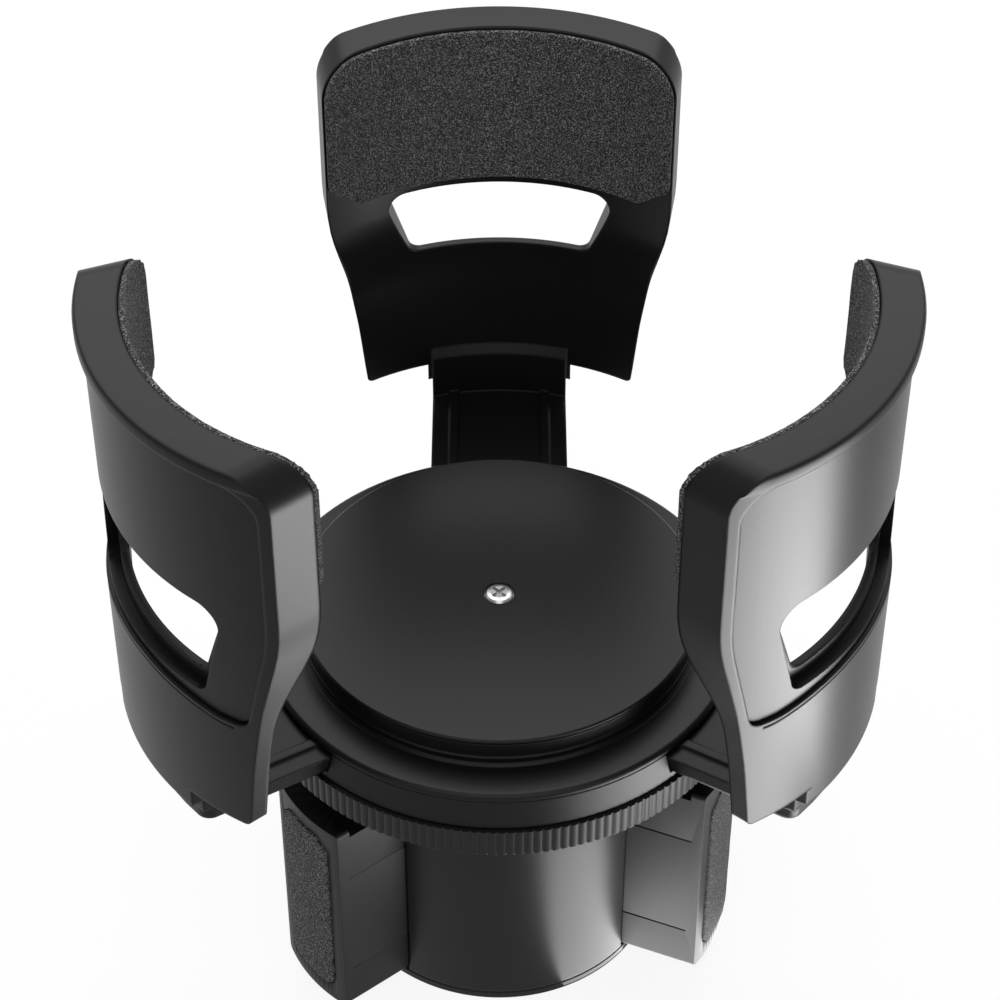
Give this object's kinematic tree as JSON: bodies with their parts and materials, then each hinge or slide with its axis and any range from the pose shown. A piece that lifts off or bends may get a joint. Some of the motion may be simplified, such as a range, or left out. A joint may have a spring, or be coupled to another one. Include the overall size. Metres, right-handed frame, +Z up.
{
  "type": "expanding car cup holder",
  "caption": "Car cup holder with a round head, sliding padded arms round the cup, a knurled grip ring and a base tube with sliding padded legs.",
  "frame": {"origin": "on the turning axis, in the flat underside of the bottom cap, on the surface that the holder stands on", "axes": "+Z up along the turning axis; +Y from the axis to the middle of the back arm; +X to the right seen from the front"},
  "size_m": [0.1552, 0.1461, 0.18],
  "materials": {
    "plastic": "satin moulded black plastic",
    "pad": "black pad with a fine speckled grain",
    "steel": "bright steel screws and pins"
  },
  "bodies": {
    "base": {"base_tube": "plastic", "bottom_cap": "plastic", "cap_screws": "steel", "centre_screw": "steel", "centre_washer": "steel"},
    "head": {"leg_cam": "plastic", "cam_screws": "steel", "ring_keeper": "plastic", "lower_shell": "plastic", "shell_screws": "steel", "upper_shell": "plastic", "floor_plate": "plastic"},
    "ring": {"grip_ring": "plastic"},
    "arm_back": {"arm_back": "plastic", "arm_back_cover": "plastic", "arm_back_pad": "pad", "arm_back_pin": "steel"},
    "arm_left": {"arm_left": "plastic", "arm_left_cover": "plastic", "arm_left_pad": "pad", "arm_left_pin": "steel"},
    "arm_right": {"arm_right": "plastic", "arm_right_cover": "plastic", "arm_right_pad": "pad", "arm_right_pin": "steel"},
    "leg_back": {"leg_back": "plastic", "leg_back_pad": "pad", "leg_back_pin": "steel"},
    "leg_left": {"leg_left": "plastic", "leg_left_pad": "pad", "leg_left_pin": "steel"},
    "leg_right": {"leg_right": "plastic", "leg_right_pad": "pad", "leg_right_pin": "steel"}
  },
  "joints": [
    {"name": "head_turn", "type": "hinge", "parent": "base", "child": "head", "pos_m": [0, 0, 0.0697], "axis": [0, 0, 1], "range_deg": [0, 100]},
    {"name": "ring_turn", "type": "hinge", "parent": "head", "child": "ring", "pos_m": [0, 0, 0.0718], "axis": [0, 0, 1], "range_deg": [0, 110]},
    {"name": "arm_back_slide", "type": "slide", "parent": "head", "child": "arm_back", "axis": [0, 1, 0], "range_m": [-0.0255, 0]},
    {"name": "arm_left_slide", "type": "slide", "parent": "head", "child": "arm_left", "axis": [-0.866, -0.5, 0], "range_m": [-0.0255, 0]},
    {"name": "arm_right_slide", "type": "slide", "parent": "head", "child": "arm_right", "axis": [0.866, -0.5, 0], "range_m": [-0.0255, 0]},
    {"name": "leg_back_slide", "type": "slide", "parent": "base", "child": "leg_back", "axis": [-0.1392, 0.9903, 0], "range_m": [-0.0167, 0]},
    {"name": "leg_left_slide", "type": "slide", "parent": "base", "child": "leg_left", "axis": [-0.788, -0.6157, 0], "range_m": [-0.0167, 0]},
    {"name": "leg_right_slide", "type": "slide", "parent": "base", "child": "leg_right", "axis": [0.9272, -0.3746, 0], "range_m": [-0.0167, 0]}
  ],
  "couplings": [
    {"joint": "arm_back_slide", "follows": "ring_turn", "m_per_rad": -0.01328},
    {"joint": "arm_left_slide", "follows": "ring_turn", "m_per_rad": -0.01328},
    {"joint": "arm_right_slide", "follows": "ring_turn", "m_per_rad": -0.01328},
    {"joint": "leg_back_slide", "follows": "head_turn", "m_per_rad": -0.009568},
    {"joint": "leg_left_slide", "follows": "head_turn", "m_per_rad": -0.009568},
    {"joint": "leg_right_slide", "follows": "head_turn", "m_per_rad": -0.009568}
  ]
}
